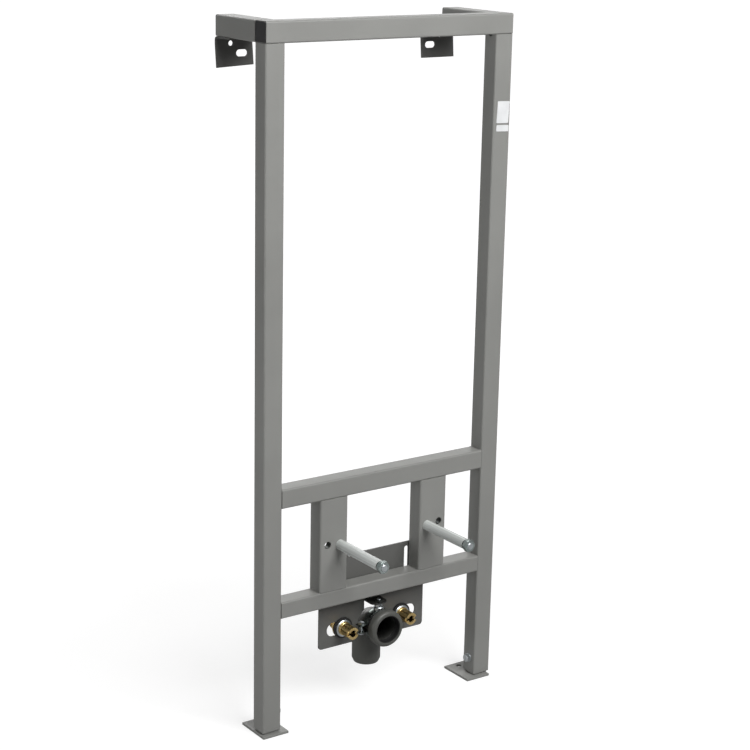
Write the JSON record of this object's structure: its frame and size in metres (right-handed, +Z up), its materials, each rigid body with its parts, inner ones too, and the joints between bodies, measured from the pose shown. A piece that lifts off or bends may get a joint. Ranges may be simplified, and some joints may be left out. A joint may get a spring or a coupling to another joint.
{
  "type": "bidet installation frame",
  "caption": "Upright square-tube wall frame for hanging a bidet: threaded rods, drain elbow in a pipe clamp, brass water outlets, wall angles above and height-adjustable feet below.",
  "frame": {"origin": "on the floor, in the middle of the object's outline seen from above", "axes": "+X to the right seen from the front, +Y from the rods towards the wall, +Z up"},
  "size_m": [0.483, 0.283, 1.18],
  "materials": {
    "grey_powder_coat": "warm grey powder coat, satin",
    "dark_sheet": "warm grey powder coat, satin",
    "zinc_plate": "bright zinc plating",
    "black_plastic": "fine moulded texture",
    "grey_plastic": "smooth moulded drain pipe",
    "white_plastic": "translucent sleeve",
    "black_rubber": "matt rubber",
    "brass": "cast and turned brass"
  },
  "bodies": {
    "frame": {"post_left": "grey_powder_coat", "post_right": "grey_powder_coat", "top_bar": "grey_powder_coat", "mid_bar": "grey_powder_coat", "low_bar": "grey_powder_coat", "top_bar_cap_left": "black_plastic", "top_bar_cap_right": "black_plastic", "arm_left": "grey_powder_coat", "arm_right": "grey_powder_coat", "wall_bracket_left": "grey_powder_coat", "wall_bracket_right": "grey_powder_coat", "rod_channel_left": "grey_powder_coat", "rod_channel_right": "grey_powder_coat", "weld_nuts_left": "zinc_plate", "weld_nuts_right": "zinc_plate", "threaded_rod_left": "zinc_plate", "threaded_rod_right": "zinc_plate", "rod_end_nut_left": "zinc_plate", "rod_end_nut_right": "zinc_plate", "rod_ring_left": "black_plastic", "rod_ring_right": "black_plastic", "rod_sleeve_left": "white_plastic", "rod_sleeve_right": "white_plastic", "foot_bolt_left": "zinc_plate", "foot_bolt_right": "zinc_plate", "plate_screws": "zinc_plate"},
    "foot_left": {"foot_plate_left": "grey_powder_coat", "foot_leg_left": "grey_powder_coat"},
    "foot_right": {"foot_plate_right": "grey_powder_coat", "foot_leg_right": "grey_powder_coat"},
    "fitting_carriage": {"fitting_plate": "dark_sheet", "drain_elbow": "grey_plastic", "drain_seal": "black_rubber", "clamp_half_upper": "zinc_plate", "clamp_half_lower": "zinc_plate", "clamp_lining": "black_rubber", "clamp_screws": "zinc_plate", "clamp_stud": "zinc_plate", "clamp_stud_nut": "zinc_plate", "water_fitting_left": "brass", "water_fitting_right": "brass", "fitting_gasket_left": "black_rubber", "fitting_gasket_right": "black_rubber", "lock_nut_left": "brass", "lock_nut_right": "brass"}
  },
  "joints": [
    {"name": "foot_left_slide", "type": "slide", "parent": "frame", "child": "foot_left", "axis": [0, 0, -1], "range_m": [0, 0.2]},
    {"name": "foot_right_slide", "type": "slide", "parent": "frame", "child": "foot_right", "axis": [0, 0, -1], "range_m": [0, 0.2]},
    {"name": "plate_height", "type": "slide", "parent": "frame", "child": "fitting_carriage", "axis": [0, 0, 1], "range_m": [-0.04, 0.004]}
  ]
}
